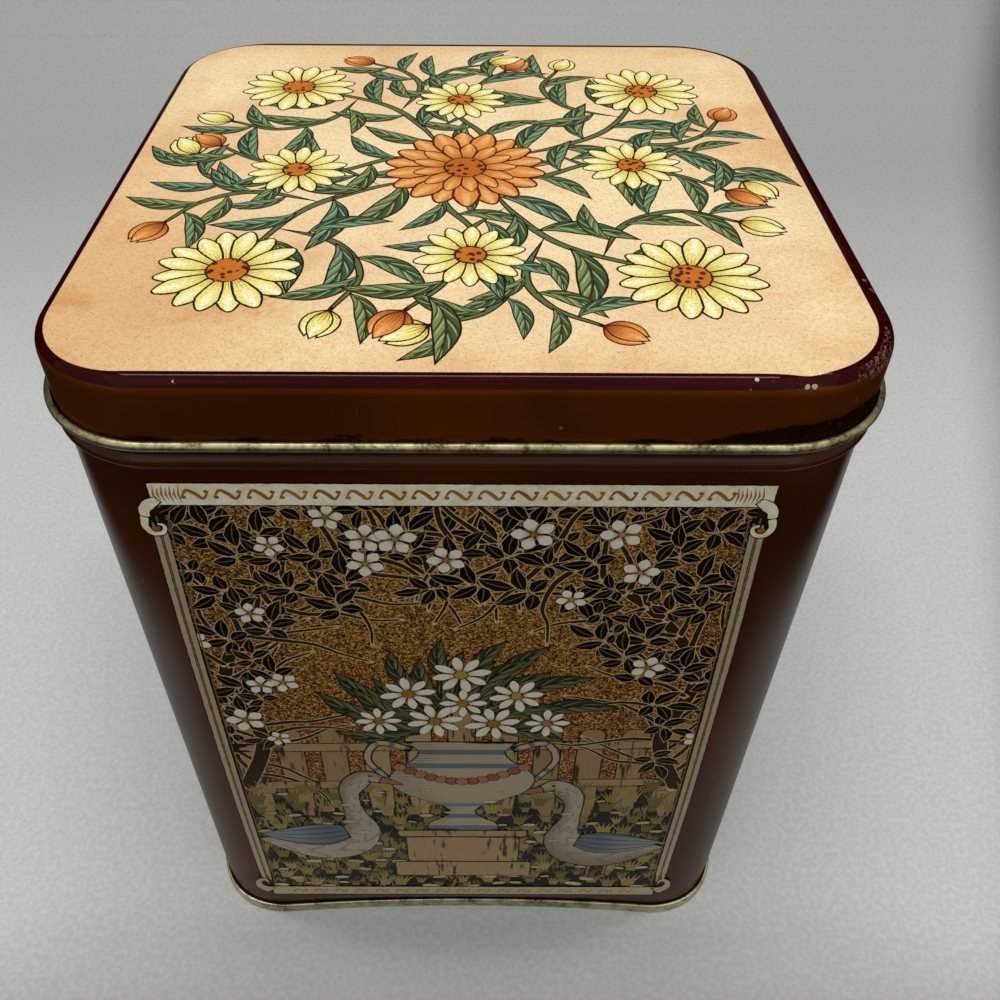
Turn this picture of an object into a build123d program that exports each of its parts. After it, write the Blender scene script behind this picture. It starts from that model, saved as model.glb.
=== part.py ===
from build123d import *
from math import asin, atan, degrees, sin
import os

# A tall square tinplate canister with a slip lid, standing on its foot seam.
# Millimetres. Z is up, the origin is the middle of the foot on the table,
# and the pictured front faces -Y.

# Overall sizes, read from the photograph
tin_height = 140.0           # table to the flat top of the lid
skirt_half = 52.1            # middle of the tin to the outside of the lid's skirt
skirt_corner_radius = 15.0   # plan radius of the skirt's corners
lid_depth = 10.1             # top of the lid to the foot of its curl
lid_edge_radius = 2.2        # drawn edge between the lid's panel and its skirt
curl_diameter = 1.3          # hollow curl round the foot of the skirt
curl_wrap = 285.0            # degrees that the curl turns through

# Sheet and fits
sheet = 0.25                 # tinplate
skirt_clearance = 0.25       # inside of the skirt to outside of the wall, all round
seam_clearance = 0.02        # between neighbouring layers of the foot seam

# Body wall
bead_below_lid = 1.1         # foot of the lid's curl to the stop bead
bead_height = 3.0
bead_proud = 0.8
bead_crest_radius = 0.95
rim_bend_radius = 2.4        # the rim turns in over this bend
rim_land = 1.2               # level part of the rim, which carries the lid
rim_fold_radius = 0.5
rim_return = 1.0             # raw edge turned down inside the rim
side_seam_width = 3.4        # folded lock seam down the back
side_seam_offset = 26.0      # middle of the back to the middle of that seam
side_seam_layers = 3         # layers that the seam adds inside the wall
seam_groove_width = 0.35
seam_groove_depth = 0.1

# Foot, where the sides are drawn in as the end is seamed on
draw_in_top = 10.0           # the wall is straight above this height
draw_in_corner = 0.6         # how far the corners come in
draw_in_side = 1.3           # how much further the middle of each side comes in
draw_in_steps = 4            # outlines that the drawn-in foot passes through
foot_corner_radius = 12.3
seam_height = 2.8            # height of the folded seam
seam_fold_radius = 0.35      # bends at the bottom of the seam

# Bottom end
countersink = 3.4            # table to the underside of the end's margin
countersink_radius = 0.8
margin_width = 9.0           # wall to the step round the raised middle
step_height = 0.9
step_run = 1.6
step_corner_radius = 7.0

# Sizes that follow
wall_half = skirt_half - sheet - skirt_clearance
wall_corner_radius = skirt_corner_radius - sheet - skirt_clearance
foot_half = wall_half - draw_in_corner
rim_top = tin_height - sheet
bead_top = tin_height - lid_depth - bead_below_lid
bead_bottom = bead_top - bead_height
layer = sheet + seam_clearance
body_turn = 2 * layer + sheet / 2                           # centre of the body's turn
cover_turn = seam_height - layer - sheet / 2                 # centre of the end's top turn


def outline(half, radius, bow=0.0):
    """Closed plan outline of a rounded square, from the middle of the front.

    Each side bows in by `bow` at its middle, on an arc tangent to its corners.
    """
    centre = half - radius
    middle = Vector(0, bow - half)
    swing = 0.0
    if bow > 0:
        side_radius = (centre**2 + (radius - bow) ** 2 - radius**2) / (2 * bow)
        swing = degrees(asin(centre / (radius + side_radius)))
    corner_centre = Vector(centre, -centre)
    right = corner_centre + Vector(0, -radius).rotate(Axis.Z, -swing)
    left = Vector(-right.X, right.Y)
    beyond = corner_centre + Vector(radius, 0).rotate(Axis.Z, swing)
    outermost = corner_centre + Vector(radius, 0).rotate(Axis.Z, -45)
    corner = ThreePointArc(right, outermost, beyond)
    if bow > 0:
        bow_centre = middle - Vector(0, side_radius)
        part_way = bow_centre + Vector(0, side_radius).rotate(Axis.Z, -swing / 2)
        first_half = ThreePointArc(middle, part_way, right)
        last_half = ThreePointArc(left, Vector(-part_way.X, part_way.Y), middle)
        side = ThreePointArc(left, middle, right)
    else:
        first_half = Line(middle, right)
        last_half = Line(left, middle)
        side = Line(left, right)
    pieces = [first_half, corner]
    for quarter in (90, 180, 270):
        pieces += [Rot(0, 0, quarter) * side, Rot(0, 0, quarter) * corner]
    return Wire([piece.edge() for piece in pieces + [last_half]])


def plan(half, radius, height, bow=0.0):
    """Flat face of an outline at a height."""
    return Pos(0, 0, height) * Face(outline(half, radius, bow))


def folded(start, heading, folds):
    """Section of folded sheet: x is outward from the outline, y is up.

    `folds` holds straight runs, as lengths, and bends, as pairs of a radius to
    the middle of the sheet and the degrees turned, to the left if positive.
    """
    place = Vector(*start)
    left_side = []
    right_side = []
    for fold in folds:
        left = Vector(0, 1).rotate(Axis.Z, heading)
        if isinstance(fold, tuple):
            radius, angle = fold
            towards = left if angle > 0 else -left
            centre = place + towards * radius
            for side, sign in ((left_side, 1), (right_side, -1)):
                spoke = place + left * (sign * sheet / 2) - centre
                points = [centre + spoke.rotate(Axis.Z, angle * share) for share in (0, 0.5, 1)]
                side.append(ThreePointArc(*points))
            place = centre - (towards * radius).rotate(Axis.Z, angle)
            heading += angle
        else:
            onward = place + Vector(fold, 0).rotate(Axis.Z, heading)
            for side, sign in ((left_side, 1), (right_side, -1)):
                shift = left * (sign * sheet / 2)
                side.append(Line(place + shift, onward + shift))
            place = onward
    raw_edges = [
        Line(left_side[0] @ 0, right_side[0] @ 0),
        Line(left_side[-1] @ 1, right_side[-1] @ 1),
    ]
    return make_face(Wire([line.edge() for line in left_side + right_side + raw_edges]))


def carried_round(section, half, radius, bow=0.0):
    """Solid of a section carried once round an outline."""
    at_start = Plane(origin=(0, bow - half, 0), x_dir=(0, -1, 0), z_dir=(-1, 0, 0))
    return sweep(at_start * section, path=outline(half, radius, bow))


def offset_folds(shift, run, first_turn):
    """Two equal bends that shift the sheet sideways by `shift` over `run`."""
    swing = 2 * atan(shift / run)
    radius = run / 2 / sin(swing)
    return [(radius, first_turn * degrees(swing)), (radius, -first_turn * degrees(swing))]


def bead_folds():
    """Three bends of the stop bead: out, over its crest and back."""
    swing = 2 * atan(bead_proud / (bead_height / 2))
    crest = bead_crest_radius - sheet / 2
    root = bead_height / 2 / sin(swing) - crest
    return [(root, -degrees(swing)), (crest, 2 * degrees(swing)), (root, -degrees(swing))]


def drawn_in_foot(inset):
    """Filled foot of the wall, from the seam's top to where the sides are straight."""
    faces = []
    for step in range(draw_in_steps + 1):
        share = step / draw_in_steps
        pull = (1 - share) ** 2
        half = wall_half - pull * draw_in_corner - inset
        radius = wall_corner_radius + pull * (foot_corner_radius - wall_corner_radius) - inset
        height = seam_height + share * (draw_in_top - seam_height)
        faces.append(plan(half, radius, height, pull * draw_in_side))
    return loft(faces)


def make_slip_lid():
    """Drawn lid: flat panel, straight skirt and an outward curl at its foot."""
    section = folded(
        (-lid_edge_radius, tin_height - sheet / 2),
        0,
        [
            (lid_edge_radius - sheet / 2, -90),
            lid_depth - lid_edge_radius - curl_diameter / 2,
            ((curl_diameter - sheet) / 2, curl_wrap),
        ],
    )
    panel = plan(
        skirt_half - lid_edge_radius, skirt_corner_radius - lid_edge_radius, rim_top
    )
    return extrude(panel, sheet) + carried_round(section, skirt_half, skirt_corner_radius)


def make_body_wall():
    """One wrapped sheet: turned-in rim, stop bead, drawn-in foot and body hook."""
    upper = folded(
        (-sheet / 2, draw_in_top),
        90,
        [bead_bottom - draw_in_top]
        + bead_folds()
        + [
            rim_top - rim_bend_radius - bead_top,
            (rim_bend_radius - sheet / 2, 90),
            rim_land,
            (rim_fold_radius - sheet / 2, 90),
            rim_return,
        ],
    )
    hook = folded(
        (-sheet / 2, seam_height),
        -90,
        [seam_height - body_turn, (layer, 180), cover_turn - seam_clearance - body_turn],
    )
    wall = carried_round(upper, wall_half, wall_corner_radius)
    wall += drawn_in_foot(0) - drawn_in_foot(sheet)
    wall += carried_round(hook, foot_half, foot_corner_radius, draw_in_side)
    return wall + make_side_seam() - side_seam_groove()


def make_side_seam():
    """Inner layers of the lock seam that joins the two ends of the sheet."""
    fold = side_seam_layers * sheet
    top = rim_top - rim_bend_radius
    end_clear = countersink + sheet + countersink_radius
    strip = Pos(-side_seam_offset, wall_half - sheet - fold / 2, (draw_in_top + top) / 2) * Box(
        side_seam_width, fold, top - draw_in_top
    )
    band = Pos(-side_seam_offset, wall_half / 2, (end_clear + draw_in_top) / 2) * Box(
        side_seam_width, wall_half, draw_in_top - end_clear
    )
    lower_strip = (drawn_in_foot(sheet) - drawn_in_foot(sheet + fold)) & band
    return strip + lower_strip


def side_seam_groove():
    """Fine outside line where one end of the sheet tucks behind the other."""
    line = side_seam_offset - side_seam_width / 2
    return Pos(-line, wall_half, (draw_in_top + bead_bottom) / 2) * Box(
        seam_groove_width, 2 * seam_groove_depth, bead_bottom - draw_in_top
    )


def make_bottom_end():
    """Countersunk end with a raised middle, folded over the body hook at its rim."""
    margin_height = countersink + sheet / 2
    inner_line = -layer - sheet / 2
    outer_line = 2.5 * sheet + 3 * seam_clearance
    edge_inset = countersink_radius - inner_line
    rim = folded(
        (-edge_inset, margin_height),
        0,
        [
            (countersink_radius, -90),
            margin_height - countersink_radius - seam_fold_radius - sheet / 2,
            (seam_fold_radius, 90),
            outer_line - inner_line - 2 * seam_fold_radius,
            (seam_fold_radius, 90),
            cover_turn - seam_fold_radius - sheet / 2,
            (layer, 180),
            cover_turn - body_turn - seam_clearance,
        ],
    )
    step_half = foot_half - margin_width
    step = folded((0, margin_height), 180, offset_folds(step_height, step_run, -1))
    margin = plan(foot_half - edge_inset, foot_corner_radius - edge_inset, countersink, draw_in_side)
    margin -= plan(step_half, step_corner_radius, countersink)
    middle = plan(step_half - step_run, step_corner_radius - step_run, countersink + step_height)
    end = carried_round(rim, foot_half, foot_corner_radius, draw_in_side)
    end += extrude(margin, sheet)
    end += carried_round(step, step_half, step_corner_radius)
    return end + extrude(middle, sheet)


PIECES = {
    "slip_lid": make_slip_lid,
    "body_wall": make_body_wall,
    "bottom_end": make_bottom_end,
}

os.makedirs("parts", exist_ok=True)
for name, make in PIECES.items():
    export_step(make(), f"parts/{name}.step")
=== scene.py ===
import math
import random

import bmesh
import bpy
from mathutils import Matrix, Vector


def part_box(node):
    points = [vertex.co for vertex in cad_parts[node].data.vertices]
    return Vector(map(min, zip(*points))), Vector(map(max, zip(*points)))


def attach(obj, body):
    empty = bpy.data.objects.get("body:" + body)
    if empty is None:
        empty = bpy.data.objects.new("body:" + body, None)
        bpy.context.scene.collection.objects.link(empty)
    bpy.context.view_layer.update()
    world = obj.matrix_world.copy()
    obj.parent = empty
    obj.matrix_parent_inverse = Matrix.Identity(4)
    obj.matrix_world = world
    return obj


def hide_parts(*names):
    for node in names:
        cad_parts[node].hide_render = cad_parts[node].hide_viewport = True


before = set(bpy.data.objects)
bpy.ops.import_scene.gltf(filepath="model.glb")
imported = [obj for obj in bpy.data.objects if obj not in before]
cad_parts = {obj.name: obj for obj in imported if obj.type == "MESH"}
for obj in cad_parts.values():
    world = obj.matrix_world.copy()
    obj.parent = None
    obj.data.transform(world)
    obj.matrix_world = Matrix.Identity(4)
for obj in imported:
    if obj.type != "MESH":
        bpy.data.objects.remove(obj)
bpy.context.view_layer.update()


# Table and tent. A seamless pale sheet of cloth under and behind the tin, a long
# narrow lamp overhead, wide soft lamps at both sides and in front, and the camera
# close above the front.
MM = 0.001


class Value:
    """An output of a node. Each step of arithmetic on it adds a Math node."""

    def __init__(self, tree, socket):
        self.tree = tree
        self.socket = socket

    def step(self, operation, *others):
        return self.tree.add("ShaderNodeMath", (self, *others), operation=operation)

    def __add__(self, other):
        return self.step("ADD", other)

    def __sub__(self, other):
        return self.step("SUBTRACT", other)

    def __mul__(self, other):
        return self.step("MULTIPLY", other)

    def __gt__(self, other):
        return self.step("GREATER_THAN", other)

    def __lt__(self, other):
        return self.step("LESS_THAN", other)

    def __or__(self, other):
        return self.step("MAXIMUM", other)

    def __abs__(self):
        return self.step("ABSOLUTE")

    def waves(self, count):
        """A wave between -1 and 1 that runs on by `count` radians to the unit."""
        return (self * count).step("SINE")

    def ramp(self, low, high):
        """0 below low and 1 above high, or the other way round when low is above high."""
        limits = {"Value": self, "From Min": low, "From Max": high}
        return self.tree.add("ShaderNodeMapRange", limits, interpolation_type="SMOOTHSTEP")

    def blend(self, under, over):
        """One colour laid over another, by this share."""
        layers = {0: self, 6: under, 7: over}
        return self.tree.add("ShaderNodeMix", layers, 2, data_type="RGBA")


def display(level):
    """A level of light, given as it shows on a screen, 0 to 255."""
    level /= 255
    return level / 12.92 if level < 0.04045 else ((level + 0.055) / 1.055) ** 2.4


class Tree:
    """A node tree, with short ways to add the nodes that this script uses.

    A colour is three levels as they show on a screen, or four linear ones.
    """

    def __init__(self, real):
        self.real = real
        self.places = {}

    def add(self, kind, inputs=(), out=0, **settings):
        """Adds a node with its settings and inputs, and returns one of its outputs."""
        node = self.real.nodes.new(kind)
        for name, value in settings.items():
            setattr(node, name, value)
        pairs = inputs.items() if isinstance(inputs, dict) else enumerate(inputs)
        for key, value in pairs:
            self.feed(node, key, value)
        return Value(self, node.outputs[out])

    def feed(self, node, key, value):
        """Links or sets one input of a node. A name may have _ in place of a space."""
        socket = node.inputs[key.replace("_", " ") if isinstance(key, str) else key]
        if isinstance(value, Value):
            self.real.links.new(value.socket, socket)
        elif socket.type == "RGBA" and len(value) == 3:
            socket.default_value = [*map(display, value), 1.0]
        else:
            socket.default_value = value

    def shade(self, **inputs):
        """Gives values to the Principled shader of a material."""
        for name, value in inputs.items():
            self.feed(self.real.nodes["Principled BSDF"], name, value)

    def place(self, stretch=None):
        """Object coordinates in metres, times a stretch along each axis if one is given."""
        if stretch not in self.places:
            self.places[stretch] = (
                self.add("ShaderNodeMapping", {"Vector": self.place(), "Scale": stretch})
                if stretch
                else self.add("ShaderNodeTexCoord", out="Object")
            )
        return self.places[stretch]

    def use(self, group, **inputs):
        """Uses a node group, with values for its named inputs."""
        return self.add("ShaderNodeGroup", inputs, node_tree=group.real)

    def read(self, mark):
        """A value that was stored on the points of the mesh."""
        return self.add("ShaderNodeAttribute", out="Fac", attribute_name=mark)

    def axis(self, name):
        return self.add("ShaderNodeSeparateXYZ", (self.place(),), name)

    def distance(self, spot, stretch=None):
        """How far a point lies from a spot."""
        return self.vector("DISTANCE", self.place(stretch), spot, out="Value")

    def vector(self, operation, *values, out=0):
        return self.add("ShaderNodeVectorMath", values, out, operation=operation)

    def noise(self, scale, detail=4.0, roughness=0.6, stretch=None, distortion=0.0):
        """Uneven values about 0.5, with `scale` patches to the metre."""
        return self.add(
            "ShaderNodeTexNoise",
            {
                "Vector": self.place(stretch),
                "Scale": scale,
                "Detail": detail,
                "Roughness": roughness,
                "Distortion": distortion,
            },
        )

    def cells(self, scale, randomness=1.0):
        """Distance from the middles of cells, with `scale` cells to the metre."""
        inputs = {"Vector": self.place(), "Scale": scale, "Randomness": randomness}
        return self.add("ShaderNodeTexVoronoi", inputs, "Distance")

    def bump(self, height, strength, depth):
        """Relief on the surface, `depth` deep."""
        relief = {"Strength": strength, "Distance": depth, "Height": height}
        self.shade(Normal=self.add("ShaderNodeBump", relief))


def new_material(name, **constants):
    """A material with constant values on its Principled shader, and its tree."""
    material = bpy.data.materials.new(name)
    material.use_nodes = True
    tree = Tree(material.node_tree)
    tree.shade(**constants)
    return material, tree


def finish_object(name, mesh, material=None):
    """Puts a finished mesh in the scene, at the origin."""
    if material:
        mesh.materials.clear()
        mesh.materials.append(material)
    piece = bpy.data.objects.new(name, mesh)
    bpy.context.scene.collection.objects.link(piece)
    return piece


cloth, tree = new_material("tent_cloth", Roughness=0.9, Specular_IOR_Level=0.2)
fibre = tree.noise(900, 2)
tree.bump(fibre, 0.25, 0.3 * MM)
woven = fibre.ramp(0.35, 0.7).blend((0.60, 0.61, 0.585, 1), (0.68, 0.69, 0.665, 1))
# Pressed dimples in rows, shown only by painted shade in their hollows that deepens towards the
# back, and painted shade that darkens the cloth towards the back, away from the lamps.
hollow_shade = tree.cells(260.0, 0.25).ramp(0.3, 0.12)
# Painted shade: share of darkening towards the back, away from the lamps.
behind = tree.axis("Y").ramp(0.06, 0.3)
woven = (hollow_shade * (behind * 0.2 + 0.03)).blend(woven, (0.30, 0.31, 0.30, 1))
woven = (behind * 0.42).blend(woven, (0.22, 0.23, 0.225, 1))
# Painted shadow: in front the cloth is painted dark as the shade of whoever takes the picture,
# and painted shade darkens it at both sides, so that the varnish mirrors it at its foot only.
shade_middle, shade_inner, shade_outer = (0.0, -0.26, 0.0), 0.155, 0.222
side_slant, side_inner, side_outer = -0.35, 0.12, 0.17
lit = tree.distance(shade_middle, (0.6, 1.0, 1.0)).ramp(shade_inner, shade_outer)
aside = tree.axis("Y") * side_slant + abs(tree.axis("X"))
lit = lit * aside.ramp(side_outer, side_inner)
tree.shade(Base_Color=lit.blend((0.02, 0.02, 0.019, 1), woven))

sweep_radius = 0.25
floor_front, floor_back, backdrop_top, half_width = -0.9, 0.55, 0.9, 1.2
sweep_steps = 12
profile = [(floor_front, 0.0)]
for step in range(sweep_steps + 1):
    angle = math.pi / 2 * step / sweep_steps
    along = floor_back - sweep_radius + sweep_radius * math.sin(angle)
    profile.append((along, sweep_radius - sweep_radius * math.cos(angle)))
profile.append((floor_back, backdrop_top))
sheet_mesh = bpy.data.meshes.new("table_cloth")
sheet_mesh.from_pydata(
    [(x, y, z) for y, z in profile for x in (-half_width, half_width)],
    [],
    [(2 * row, 2 * row + 1, 2 * row + 3, 2 * row + 2) for row in range(len(profile) - 1)],
)
sheet_mesh.shade_smooth()
finish_object("table_cloth", sheet_mesh, cloth)

world = bpy.data.worlds.new("tent")
world.use_nodes = True
tree = Tree(world.node_tree)
background = world.node_tree.nodes["Background"]
fill_level, seen_level = 0.13, 0.42
seen = tree.add("ShaderNodeLightPath", out="Is Camera Ray")
tree.feed(background, "Strength", seen * (seen_level - fill_level) + fill_level)
tree.feed(background, "Color", (0.93, 0.96, 1.0, 1))
bpy.context.scene.world = world


def soft_lamp(name, place, size, watts, colour):
    """A flat lamp, wide and deep by its size, that faces the middle of the tin."""
    light = bpy.data.lights.new(name, "AREA")
    light.shape = "RECTANGLE"
    light.size, light.size_y = size
    light.energy = watts
    light.color = colour
    lamp = bpy.data.objects.new(name, light)
    lamp.location = place
    aim = Vector((0, 0, 0.07)) - lamp.location
    lamp.rotation_euler = aim.to_track_quat("-Z", "Y").to_euler()
    bpy.context.scene.collection.objects.link(lamp)


soft_lamp("top_lamp", (0.0, 0.04, 1.2), (1.0, 0.12), 7.5, (1.0, 0.98, 0.95))
soft_lamp("front_lamp", (0.0, -0.5, 0.75), (1.2, 1.2), 2.85, (1.0, 0.99, 0.97))
soft_lamp("left_lamp", (-0.46, -0.26, 0.42), (0.7, 0.7), 0.8, (0.97, 0.99, 1.0))
soft_lamp("right_lamp", (0.46, -0.26, 0.42), (0.7, 0.7), 0.65, (0.97, 0.99, 1.0))

photo_width = 1000
focal_pixels = 968.2
camera_data = bpy.data.cameras.new("camera")
camera_data.sensor_width = 36.0
camera_data.lens = focal_pixels / photo_width * camera_data.sensor_width
camera_data.shift_x = 0.0205
camera_data.shift_y = -0.0635
camera_data.clip_start = 0.01
camera = bpy.data.objects.new("camera", camera_data)
camera.location = (1.3 * MM, -135.7 * MM, 206.4 * MM)
camera.rotation_euler = (0.8431, -0.0058, -0.0002)
bpy.context.scene.collection.objects.link(camera)
bpy.context.scene.camera = camera
bpy.context.scene.view_settings.view_transform = "Standard"


# Slip lid. One sheet of tinplate, printed and varnished, then drawn to a flat
# panel with a rounded edge and a straight skirt, and curled outward at its foot,
# so the curl shows the gold-lacquered inside of the sheet.
lid_low, lid_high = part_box("slip_lid")
sheet = 0.25 * MM
curl_diameter = 1.3 * MM
curl_wrap = 285
curl_bend = (curl_diameter - sheet) / 2
skirt_half = lid_high.x - curl_bend - curl_diameter / 2 + sheet / 2
skirt_corner_radius = 15.0 * MM
skirt_rows = 6
lid_edge_radius = 2.2 * MM
lid_depth = lid_high.z - lid_low.z
ink_room = 0.06 * MM
lid_top = lid_high.z - ink_room
path_points = 384


def aimed(angle, length=1.0):
    """A step in the plane, by its angle in radians and its length."""
    return Vector((math.cos(angle), math.sin(angle))) * length


def folded(outward, height, heading, folds):
    """Both faces of folded sheet in section, as rows of (outward, up) points.

    A fold is the length of a straight run, or a bend as a pair of its radius to
    the middle of the sheet and the degrees turned, to the left if positive.
    """
    place = Vector((outward, height))
    heading = math.radians(heading)
    left_face, right_face = [], []

    def mark():
        half = Vector((-math.sin(heading), math.cos(heading))) * sheet / 2
        left_face.append(place + half)
        right_face.append(place - half)

    mark()
    for fold in folds:
        if isinstance(fold, tuple):
            radius, degrees = fold
            steps = max(3, round(abs(degrees) / 12))
            turn = math.radians(degrees) / steps
            chord = 2 * radius * math.sin(abs(turn) / 2)
            for _ in range(steps):
                heading += turn / 2
                place = place + aimed(heading, chord)
                heading += turn / 2
                mark()
        else:
            place = place + aimed(heading, fold)
            mark()
    return left_face, right_face


def section_line(name, faces, gold_face, raw_start=True, raw_end=True, pull=lambda point: 0.0):
    """Section as a mesh line, down its left face and back up its right one.

    A raw end of the sheet is closed across its thickness, and any other is left open.
    """
    left_face, right_face = faces
    points = left_face + right_face[::-1]
    count = len(points)
    line = bpy.data.meshes.new(name)
    edges = [(i, i + 1) for i in range(count - 1) if raw_end or i != len(left_face) - 1]
    edges += [(count - 1, 0)] if raw_start else []
    line.from_pydata([(point.x, -point.y, 0) for point in points], edges, [])
    lacquered = [float((index < len(left_face)) == (gold_face == "left")) for index in range(count)]
    set_marks(line, lacquered=lacquered, pull=[pull(point) for point in points])
    return line


def set_marks(mesh, **marks):
    """Stores named values on the points of a mesh."""
    for mark, values in marks.items():
        mesh.attributes.new(mark, "FLOAT", "POINT").data.foreach_set("value", values)


def new_group(name, kind, **sockets):
    """Node group with named inputs: its tree, and what it is given by name."""
    group = bpy.data.node_groups.new(name, kind + "NodeTree")
    for socket, value in sockets.items():
        group.interface.new_socket(
            socket.replace("_", " "), in_out="INPUT", socket_type="NodeSocket" + value
        )
    tree = Tree(group)
    source = group.nodes.new("NodeGroupInput")
    return tree, {socket.name: Value(tree, socket) for socket in source.outputs}


def close_group(tree, kind, result, name="Result"):
    """Gives a node group its one result."""
    tree.real.interface.new_socket(name, in_out="OUTPUT", socket_type="NodeSocket" + kind)
    tree.feed(tree.real.nodes.new("NodeGroupOutput"), name, result)


def close_geometry(tree, made, finish, name):
    """Ends a Geometry Nodes tree with what it made, as plain mesh in its material."""
    real = tree.add("GeometryNodeRealizeInstances", {"Geometry": made})
    finished = tree.add("GeometryNodeSetMaterial", {"Geometry": real, "Material": finish})
    close_group(tree, "Geometry", finished, name)


def evaluated_mesh(name, base, tree, **inputs):
    """Runs a Geometry Nodes tree on a mesh and returns the result as a plain mesh."""
    maker = bpy.data.objects.new(name, base)
    bpy.context.scene.collection.objects.link(maker)
    modifier = maker.modifiers.new(name, "NODES")
    modifier.node_group = tree.real
    for item in tree.real.interface.items_tree:
        known_as = item.name.replace(" ", "_")
        if known_as in inputs:
            modifier[item.identifier] = inputs[known_as]
    made = maker.evaluated_get(bpy.context.evaluated_depsgraph_get())
    mesh = bpy.data.meshes.new_from_object(made)
    mesh.name = name
    bpy.data.objects.remove(maker)
    return mesh


# Geometry Nodes tree that carries a section of sheet round a rounded square.
carry, given = new_group(
    "sheet carried round",
    "Geometry",
    Section="Geometry",
    Half_width="Float",
    Corner_radius="Float",
    Path_points="Int",
    Finish="Material",
)
across = given["Half width"] * 2.0
square = carry.add("GeometryNodeCurvePrimitiveQuadrilateral", {"Width": across, "Height": across})
rounding = {"Curve": square, "Count": 64, "Radius": given["Corner radius"]}
rounded = carry.add("GeometryNodeFilletCurve", rounding, mode="POLY")
even = {"Curve": rounded, "Count": given["Path points"]}
path = carry.add("GeometryNodeResampleCurve", even, mode="COUNT")
section = carry.add("GeometryNodeMeshToCurve", {"Mesh": given["Section"]})
swept = carry.add("GeometryNodeCurveToMesh", {"Curve": path, "Profile Curve": section})
smooth = carry.add("GeometryNodeSetShadeSmooth", {"Geometry": swept})
close_geometry(carry, smooth, given["Finish"], "Sheet")


def carried_round(name, line, half, corner_radius, finish):
    return evaluated_mesh(
        name,
        line,
        carry,
        Half_width=half,
        Corner_radius=corner_radius,
        Path_points=path_points,
        Finish=finish,
    )


def close_sheet(mesh, sharp_degrees=40):
    """Fills the flat middle of a sheet, turns its faces out and keeps its edges crisp."""
    shell = bmesh.new()
    shell.from_mesh(mesh)
    open_edges = [edge for edge in shell.edges if edge.is_boundary]
    if open_edges:
        filled = bmesh.ops.holes_fill(shell, edges=open_edges, sides=0)["faces"]
        for face in filled:
            face.smooth = True
    bmesh.ops.recalc_face_normals(shell, faces=shell.faces)
    shell.to_mesh(mesh)
    shell.free()
    mesh.set_sharp_from_angle(angle=math.radians(sharp_degrees))


# The lid's section starts on the flat panel, so a knock can dish its edge.
panel_rows = 6
panel_row = 1.2 * MM
lid_line = section_line(
    "lid section",
    folded(
        -lid_edge_radius - panel_rows * panel_row,
        lid_top - sheet / 2,
        0,
        [panel_row] * panel_rows
        + [(lid_edge_radius - sheet / 2, -90)]
        + [(lid_depth - ink_room - lid_edge_radius - curl_diameter / 2) / skirt_rows] * skirt_rows
        + [(curl_bend, curl_wrap)],
    ),
    "right",
    raw_start=False,
)


# Reach: how far a point lies outside an inner square, so a rounded square of any
# corner radius is a limit on it.
reach, given = new_group("reach", "Shader", Place="Vector", Middle="Vector", Core="Float")
away = reach.vector("SUBTRACT", given["Place"], given["Middle"])
away = reach.vector("ABSOLUTE", away)
core = reach.add("ShaderNodeCombineXYZ", {"X": given["Core"], "Y": given["Core"], "Z": 1.0})
past = reach.vector("MAXIMUM", reach.vector("SUBTRACT", away, core), (0, 0, 0))
close_group(reach, "Float", reach.vector("LENGTH", past, out="Value"))

# Knock: a ragged spot about a place, where the coating has come off.
knock, given = new_group("knock", "Shader", Middle="Vector", Size="Float")
ragged = (knock.noise(1100, 3) - 0.5) * 1.6
spread = knock.distance(given["Middle"]).step("DIVIDE", given["Size"]) + ragged
close_group(knock, "Float", spread.ramp(1.0, 0.8))

# Gold lacquer: yellow varnish over tinplate, gone olive and dark in fine mottles.
gold_lacquer, given = new_group("gold lacquer", "Shader", Tarnish="Float")
bloom = gold_lacquer.noise(260, 4, 0.7).ramp(0.38, 0.66)
fleck = gold_lacquer.noise(1900, 3, 0.75).ramp(0.42, 0.58)
lacquer_tone = bloom.blend((194, 186, 143), (160, 147, 100))
dark_share = bloom * fleck * given["Tarnish"]
close_group(gold_lacquer, "Color", dark_share.blend(lacquer_tone, (52, 46, 26)))

# Enamel tone: brown printing enamel, a little uneven, with faint rubs.
enamel_tone, given = new_group("enamel tone", "Shader", Colour="Color", Rubbed="Color")
cloudy = enamel_tone.noise(34, 3).ramp(0.3, 0.75)
toned = (cloudy * 0.45 + 0.55).blend((0, 0, 0, 1), given["Colour"])
rub = enamel_tone.noise(1500, 2, 0.8, stretch=(1.0, 1.0, 0.12)).ramp(0.69, 0.76)
rub = rub * enamel_tone.noise(55, 2).ramp(0.5, 0.66) * 0.5
close_group(enamel_tone, "Color", rub.blend(toned, given["Rubbed"]))

# Handling: uneven gloss from finger marks, for roughness.
handling, given = new_group("handling", "Shader", Least="Float", Most="Float")
smudge = handling.noise(48, 4, 0.65).ramp(0.35, 0.7)
matt = smudge | handling.noise(2400, 2).ramp(0.6, 0.75)
close_group(handling, "Float", matt * (given["Most"] - given["Least"]) + given["Least"])

brown = (94, 44, 3)
maroon = (52, 3, 2)
rubbed_brown = (128, 96, 70)
bare_tin = (176, 164, 154)
lid_gloss = 0.15


def varnished(name, gloss=lid_gloss):
    """Material with the clear varnish that all the printed sheet carries."""
    material, tree = new_material(
        name,
        Coat_Weight=gloss,
        Coat_Roughness=0.06,
        Coat_IOR=1.5,
        Roughness=0.45,
        Specular_IOR_Level=0.0,
    )
    tree.bump(tree.noise(420, 2), 0.12, 0.02 * MM)
    return material, tree


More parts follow.
